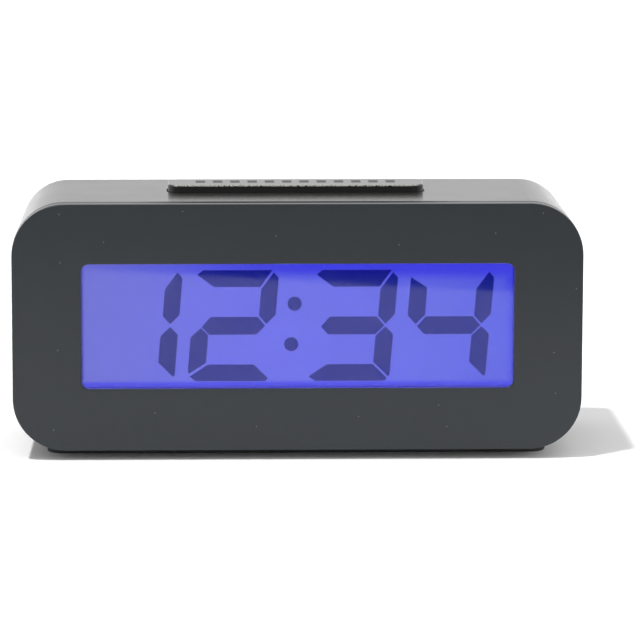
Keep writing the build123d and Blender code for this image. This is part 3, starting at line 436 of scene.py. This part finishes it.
def emitter_resin():
    """Blue light emitters: a bright middle in clear resin."""
    finish = Finish("led_resin")
    haze = finish.noise(0.7 * millimetre)
    return finish.done(finish.surface(
        Base_Color=finish.blend(haze, paint(0.05, 0.07, 0.70), paint(0.14, 0.18, 0.95)),
        Roughness=haze * 0.2 + 0.15,
        Emission_Color=finish.blend(haze, paint(0.05, 0.06, 0.9), paint(0.20, 0.22, 1.0)),
        Emission_Strength=1.5,
    ))


def striped_rubber():
    """Contact strip: thin dark conducting layers between pale ones."""
    finish = Finish("grey_rubber")
    layer = finish.band((finish.x / (0.5 * millimetre)).math("FRACT"), 0.3, 0.7, 0.05)
    return finish.done(finish.surface(
        Base_Color=finish.blend(layer, paint(0.50, 0.50, 0.51), paint(0.05, 0.05, 0.055)),
        Roughness=layer * 0.1 + 0.7,
    ))


def foot_rubber():
    return finished(*moulded("foot_rubber", paint(0.050, 0.050, 0.051), 0.75, gloss=0.25))


def board_laminate(name, pitch_x, pitch_z):
    """Green solder mask over copper tracks on a woven laminate."""
    finish = Finish(name)
    wander = finish.noise(11 * millimetre, 0.0)
    lane = ((finish.z + wander * (8 * millimetre)) / pitch_z).math("FRACT")
    lane_across = ((finish.x + wander * (10 * millimetre)) / pitch_x).math("FRACT")
    tracks = finish.band(lane, 0.34, 0.62, 0.03)
    tracks = tracks.math("MAXIMUM", finish.band(lane_across, 0.42, 0.58, 0.03))
    weave = finish.noise(0.5 * millimetre, 1.0)
    mask = finish.blend(tracks, paint(0.012, 0.085, 0.026), paint(0.030, 0.170, 0.050))
    tone = finish.blend(weave * 0.25, mask, paint(0.06, 0.22, 0.09))
    return finish.done(finish.surface(
        Base_Color=tone,
        Roughness=weave * 0.1 + 0.28,
        Normal=finish.bump(tracks + weave * 0.1, 0.035 * millimetre),
    ))


def blob_resin():
    finish = Finish("chip_resin")
    flow = finish.noise(3 * millimetre)
    return finish.done(finish.surface(
        Base_Color=finish.blend(flow, paint(0.004, 0.004, 0.005), paint(0.016, 0.016, 0.018)),
        Roughness=flow * 0.15 + 0.16,
        Normal=finish.bump(flow, 0.15 * millimetre),
    ))


def plated(name, colour, roughness, brushing=(1.0, 1.0, 1.0)):
    """Plated metal with fine marks in one direction."""
    finish = Finish(name)
    marks = finish.noise(0.12 * millimetre, 3.0, brushing)
    broad = finish.noise(2.5 * millimetre)
    darker = [part * 0.8 for part in colour[:3]] + [1.0]
    return finish.done(finish.surface(
        Base_Color=finish.blend(marks * 0.5 + broad * 0.4, darker, colour),
        Metallic=1.0,
        Roughness=marks * 0.18 + (roughness - 0.07),
        Normal=finish.bump(marks, 0.006 * millimetre),
    ))


def capacitor_sleeve():
    """Dark blue shrink sleeve with a pale stripe, and bare metal on the end."""
    finish = Finish("capacitor_sleeve")
    low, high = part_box("capacitors")
    end = finish.rise(finish.y, high.y - 0.45 * millimetre, high.y - 0.35 * millimetre)
    middle_z = (low.z + high.z) / 2
    stripe = finish.rise(finish.z, middle_z + 1.6 * millimetre, middle_z + 1.7 * millimetre)
    sleeve = finish.blend(stripe, paint(0.008, 0.012, 0.055), paint(0.45, 0.47, 0.52))
    ripple = finish.noise(1.2 * millimetre)
    return finish.done(finish.surface(
        Base_Color=finish.blend(end, sleeve, paint(0.62, 0.62, 0.63)),
        Metallic=end,
        Roughness=ripple * 0.1 + 0.22,
        Normal=finish.bump(ripple, 0.02 * millimetre),
    ))


def plain_plastic(name, colour, roughness):
    return finished(*moulded(name, colour, roughness, relief=0.01 * millimetre))


def cell_jacket(name, node, nub_side):
    """A battery: plain printed jacket in two tones with a fine ring, and bright metal at both ends."""
    finish = Finish(name)
    low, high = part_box(node)
    nub_end = low.x if nub_side < 0 else high.x
    from_nub = (finish.x - nub_end) * (-nub_side) / millimetre
    length = (high.x - low.x) / millimetre
    far_end = finish.rise(from_nub, length - 0.55, length - 0.45)
    metal = finish.rise(from_nub, 1.35, 1.25).math("MAXIMUM", far_end)
    head = finish.rise(from_nub, 12.1, 12.0)
    ring = finish.band(from_nub, 12.6, 13.2, 0.05)
    scuff = finish.noise(1.6 * millimetre, 4.0, (4.0, 1.0, 1.0))
    jacket = finish.blend(head, paint(0.015, 0.020, 0.030), paint(0.10, 0.22, 0.30))
    jacket = finish.blend(ring, jacket, paint(0.55, 0.56, 0.55))
    return finish.done(finish.surface(
        Base_Color=finish.blend(metal, jacket, paint(0.60, 0.60, 0.58)),
        Metallic=metal * 0.85 + 0.15,
        Roughness=scuff * 0.16 + 0.20,
        Normal=finish.bump(scuff, 0.01 * millimetre),
    ))


def silvered_ceramic():
    finish = Finish("sounder_ceramic")
    fired = finish.noise(0.6 * millimetre, 4.0)
    return finish.done(finish.surface(
        Base_Color=finish.blend(fired, paint(0.60, 0.58, 0.50), paint(0.74, 0.72, 0.66)),
        Metallic=0.4,
        Roughness=fired * 0.2 + 0.35,
        Normal=finish.bump(fired, 0.01 * millimetre),
    ))


def ribbon_sleeve():
    """Flat ribbon: grey ribs with painted shade in the grooves between them, the first of each ribbon
    marked red.
    """
    finish = Finish("ribbon_grey")
    rib_pitch = 1.0 * millimetre
    soft = 0.02 * millimetre
    rib = (finish.x / rib_pitch).math("FRACT")
    crown = 1.0 - abs(rib - 0.5) * 2.0
    edges = [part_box(name)[0].x for name in ("control_ribbon", "snooze_ribbon")]
    first_ribs = [finish.band(finish.x, edge, edge + rib_pitch, soft) for edge in edges]
    marked = first_ribs[0].math("MAXIMUM", first_ribs[1])
    # Painted shade: each rib's grey darkens from its crown into the grooves.
    grey = finish.blend(crown, paint(0.25, 0.25, 0.26), paint(0.46, 0.46, 0.48))
    return finish.done(finish.surface(
        Base_Color=finish.blend(marked, grey, paint(0.40, 0.04, 0.04)),
        Roughness=crown * 0.1 + 0.4,
        Normal=finish.bump(crown ** 0.5, 0.2 * millimetre),
    ))


def lead_sleeve():
    """The upper lead is red and the lower one black."""
    finish = Finish("lead_sleeve")
    low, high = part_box("battery_leads")
    middle_z = (low.z + high.z) / 2
    upper = finish.rise(finish.z, middle_z - millimetre, middle_z + millimetre)
    mottle = finish.noise(0.9 * millimetre)
    return finish.done(finish.surface(
        Base_Color=finish.blend(upper, paint(0.012, 0.012, 0.013), paint(0.36, 0.02, 0.02)),
        Roughness=mottle * 0.15 + 0.36,
        Normal=finish.bump(mottle, 0.02 * millimetre),
    ))


def dress(material, *names):
    """Puts a finish on CAD nodes."""
    for name in names:
        for slot in nodes[name].material_slots:
            slot.material = material


steel = plated("screw_steel", paint(0.45, 0.45, 0.46), 0.35)
nickel = plated("contact_nickel", paint(0.66, 0.65, 0.62), 0.28)
laminate = board_laminate("board_laminate", 17 * millimetre, 3.1 * millimetre)
case_finish = case_plastic()
switch_black = plain_plastic("switch_plastic", paint(0.018, 0.018, 0.019), 0.45)
stem_cream = plain_plastic("stem_plastic", paint(0.60, 0.57, 0.50), 0.40)
button_grey = button_plastic()
button_names = ("hour", "minute", "time", "alarm")

dress(bezel_plastic(), "front_bezel")
dress(case_finish, "rear_case", "battery_door")
dress(bar_plastic(), "snooze_bar")
dress(button_grey, "alarm_switch_knob", *[f"{name}_button" for name in button_names])
dress(lens_acrylic(), "window_lens")
dress(display_glass(), "lcd_front_glass", "lcd_rear_glass")
dress(segment_ink(), "lcd_segments")
dress(lit_diffuser(), "diffuser_sheet")
dress(guide_acrylic(), "light_guide")
dress(fibre_film(), "reflector_sheet")
dress(frame_plastic(), "display_frame")
dress(emitter_resin(), "backlight_leds")
dress(striped_rubber(), "contact_strip")
dress(foot_rubber(), "front_foot_strip", "rear_foot_strip")
dress(laminate, "circuit_board", "control_board", "snooze_board")
dress(blob_resin(), "clock_chip")
dress(plated("bright_metal", paint(0.62, 0.62, 0.63), 0.25, (8.0, 1.0, 1.0)), "quartz_crystal")
dress(capacitor_sleeve(), "capacitors")
dress(steel, "board_screws", "case_screws", "snooze_board_screws", "control_board_screws")
dress(switch_black, "snooze_switch", "set_switches", "slide_switch")
dress(stem_cream, "snooze_switch_stem", "alarm_switch_lever")
dress(stem_cream, *[f"{name}_switch_stem" for name in button_names])
dress(cell_jacket("upper_cell_jacket", "upper_battery", -1), "upper_battery")
dress(cell_jacket("lower_cell_jacket", "lower_battery", 1), "lower_battery")
dress(nickel, "positive_contact", "negative_contact", "link_contact", "negative_spring", "link_spring")
dress(plated("sounder_brass", paint(0.46, 0.33, 0.13), 0.40), "sounder_disc")
dress(silvered_ceramic(), "sounder_ceramic")
dress(ribbon_sleeve(), "control_ribbon", "snooze_ribbon")
dress(lead_sleeve(), "battery_leads")


# Raised marks on the floor of the back panel
mark_rise = 0.22 * millimetre
mark_chamfer = 0.08 * millimetre


def ring_points(middle, radius, count=28, start=0.0, sweep=2 * math.pi):
    """Points round an arc, as x and z."""
    step = sweep / count
    angles = [start + step * index for index in range(count)]
    return [(middle[0] + radius * math.cos(a), middle[1] + radius * math.sin(a)) for a in angles]


def shrunk(loop, distance):
    """A closed loop moved inwards by a distance, for a chamfer."""
    moved = []
    for index, point in enumerate(loop):
        before = Vector(loop[index - 1])
        here = Vector(point)
        after = Vector(loop[(index + 1) % len(loop)])
        way_in = (here - before).normalized()
        way_out = (after - here).normalized()
        inward = Vector((-way_in.y - way_out.y, way_in.x + way_out.x))
        share = max(inward.length_squared / 2, 0.4)
        moved.append(tuple(here + inward * (distance / share)))
    return moved


def raised_loop(corners, faces, loop):
    """Adds a chamfered plate with this outline, run anticlockwise as x and z."""
    count = len(loop)
    first = len(corners)
    top = shrunk(loop, mark_chamfer)
    levels = [(loop, 0.0), (loop, mark_rise - mark_chamfer), (top, mark_rise)]
    for outline, height in levels:
        corners.extend((x, panel_floor_y + height, z) for x, z in outline)
    for level in range(len(levels) - 1):
        for index in range(count):
            low = first + level * count
            after = (index + 1) % count
            faces.append((low + index, low + count + index, low + count + after, low + after))
    last = first + (len(levels) - 1) * count
    faces.append(tuple(last + index for index in reversed(range(count))))


def raised_ring(corners, faces, middle, outer, inner):
    """Adds a ring with flat top and upright sides."""
    count = 32
    first = len(corners)
    loops = [(outer, 0.0), (outer, mark_rise), (inner, mark_rise), (inner, 0.0)]
    for radius, height in loops:
        points = ring_points(middle, radius, count)
        corners.extend((x, panel_floor_y + height, z) for x, z in points)
    for level in range(len(loops) - 1):
        for index in range(count):
            low = first + level * count
            after = (index + 1) % count
            faces.append((low + index, low + count + index, low + count + after, low + after))


def bar_loop(start, end, half_width):
    """Outline of a straight stroke between two points."""
    along = (Vector(end) - Vector(start)).normalized() * half_width
    side = Vector((-along.y, along.x))
    first, last = Vector(start), Vector(end)
    return [tuple(point) for point in (first - side, last - side, last + side, first + side)]


def panel_marks():
    """Plain marks over the controls: bars for hours and minutes, a dial, a bell, a dot and a ring."""
    corners, faces = [], []
    row_lift = 0.55 * millimetre
    size = 0.75 * millimetre
    stroke = 0.16 * millimetre
    bar_pitch = 0.6 * millimetre
    switch_mark_shift = 3 * millimetre
    row_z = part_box("hour_button")[1].z + row_lift
    middles = [sum(corner.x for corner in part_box(f"{name}_button")) / 2 for name in button_names]
    hour_x, minute_x, time_x, alarm_x = middles
    for place in (hour_x - bar_pitch, hour_x, hour_x + bar_pitch):
        raised_loop(corners, faces, bar_loop((place, row_z - size), (place, row_z + size), stroke))
    raised_loop(corners, faces, bar_loop((minute_x, row_z - size), (minute_x, row_z + size), stroke))
    raised_ring(corners, faces, (time_x, row_z), size + stroke, size - stroke)
    hand = stroke * 0.7
    raised_loop(corners, faces, bar_loop((time_x, row_z - hand), (time_x, row_z + size * 0.6), hand))
    raised_loop(corners, faces, bar_loop((time_x - hand, row_z), (time_x - size * 0.5, row_z), hand))
    bell_shares = [
        (-1.0, -0.7), (1.0, -0.7), (0.75, -0.35), (0.62, 0.35), (0.35, 0.75),
        (0.0, 0.9), (-0.35, 0.75), (-0.62, 0.35), (-0.75, -0.35),
    ]
    raised_loop(corners, faces, [(alarm_x + x * size, row_z + z * size) for x, z in bell_shares])
    raised_loop(corners, faces, ring_points((alarm_x, row_z - size * 1.05), stroke * 1.1, 16))
    knob_low, knob_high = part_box("alarm_switch_knob")
    knob_x = (knob_low.x + knob_high.x) / 2
    ring_middle = (knob_x - switch_mark_shift, row_z)
    raised_ring(corners, faces, ring_middle, size * 0.8, size * 0.8 - 2 * stroke)
    dot_middle = (knob_x + switch_mark_shift, row_z)
    raised_loop(corners, faces, ring_points(dot_middle, size * 0.6, 24))
    mesh = bpy.data.meshes.new("panel_marks")
    mesh.from_pydata(corners, [], faces)
    mesh.materials.append(plain_plastic("mark_ink", paint(0.40, 0.40, 0.40), 0.5))
    marks = bpy.data.objects.new("panel_marks", mesh)
    bpy.context.scene.collection.objects.link(marks)
    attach(marks, "clock")


panel_marks()


# White floor that keeps the clock's shadow, and the studio round it
white = paint(1.0, 1.0, 1.0)


def studio_floor():
    """White paper that ends in front of the clock; beyond, only the camera still sees white."""
    finish = Finish("studio_floor")
    paper_edge = front_y - 226 * millimetre
    paper_fade = 6 * millimetre
    paper_turn = 0.32
    ahead = finish.rise(finish.y - finish.x * paper_turn, paper_edge, paper_edge - paper_fade)
    tone = finish.blend(ahead, paint(0.92, 0.92, 0.92), paint(0.04, 0.04, 0.04))
    paper = finish.node("ShaderNodeBsdfDiffuse", inputs={"Color": tone})
    shown = {"Color": white, "Strength": finish.ray("Camera") * ahead}
    lift = finish.node("ShaderNodeEmission", inputs=shown)
    return finish.done(finish.node("ShaderNodeAddShader", inputs={0: paper, 1: lift}))


def make_floor():
    half = 4.0
    mesh = bpy.data.meshes.new("floor")
    corners = [(-half, -half, 0.0), (half, -half, 0.0), (half, half, 0.0), (-half, half, 0.0)]
    mesh.from_pydata(corners, [], [(0, 1, 2, 3)])
    mesh.materials.append(studio_floor())
    floor = bpy.data.objects.new("floor", mesh)
    bpy.context.scene.collection.objects.link(floor)


def make_world():
    """A white studio, brighter low on the right; mirrored, it is dark in front of the clock."""
    world = bpy.data.worlds.new("studio")
    studio = Nodes(world, "Generated")
    open_sky = studio.x * 0.36 - abs(studio.z) * 0.14 + 0.96
    front = studio.rise(studio.y, -0.15, -0.55)
    sides = studio.rise(abs(studio.x), 0.04, 0.24)
    mirrored_sky = sides * 0.16 - front * 0.85 + 0.90
    mirrored = studio.ray("Glossy")
    light = open_sky * (1.0 - mirrored) + mirrored_sky * mirrored
    level = light.math("MAXIMUM", studio.ray("Camera", "Transmission"))
    sky = studio.node("ShaderNodeBackground", inputs={"Color": white, "Strength": level})
    studio.end("ShaderNodeOutputWorld", sky)
    bpy.context.scene.world = world


def make_lamp():
    """One lamp high above, a little to the left and in front; shadows fall right and back."""
    lamp = bpy.data.lights.new("overhead_lamp", "SUN")
    lamp.energy = 2.05
    lamp.angle = math.radians(3.0)
    holder = bpy.data.objects.new("overhead_lamp", lamp)
    travel = Vector((0.28, 0.215, -1.0))
    holder.rotation_mode = "QUATERNION"
    holder.rotation_quaternion = travel.to_track_quat("-Z", "Y")
    bpy.context.scene.collection.objects.link(holder)


def make_camera():
    """The photograph's viewpoint, from a fit of the face's outline."""
    sensor = 36.0
    focal_pixels = 4539.3
    image_width = 640
    yaw, pitch, roll = -0.0309, 0.1887, -0.0027
    to_right, ahead, above = -0.0263149, 1.0144295, 0.1955723
    turn = Matrix.Rotation(yaw, 3, "Z") @ Matrix.Rotation(-pitch, 3, "X")
    turn = turn @ Matrix.Rotation(roll, 3, "Y")
    camera = bpy.data.cameras.new("photo_camera")
    camera.sensor_width = sensor
    camera.lens = focal_pixels * sensor / image_width
    camera.clip_end = 20.0
    holder = bpy.data.objects.new("photo_camera", camera)
    upright = Matrix.Rotation(math.pi / 2, 3, "X")
    holder.matrix_world = (turn @ upright).to_4x4()
    holder.location = (to_right, front_y - ahead, face_mid_z + above)
    bpy.context.scene.collection.objects.link(holder)
    bpy.context.scene.camera = holder


make_floor()
make_world()
make_lamp()
make_camera()
bpy.context.scene.view_settings.view_transform = "Standard"
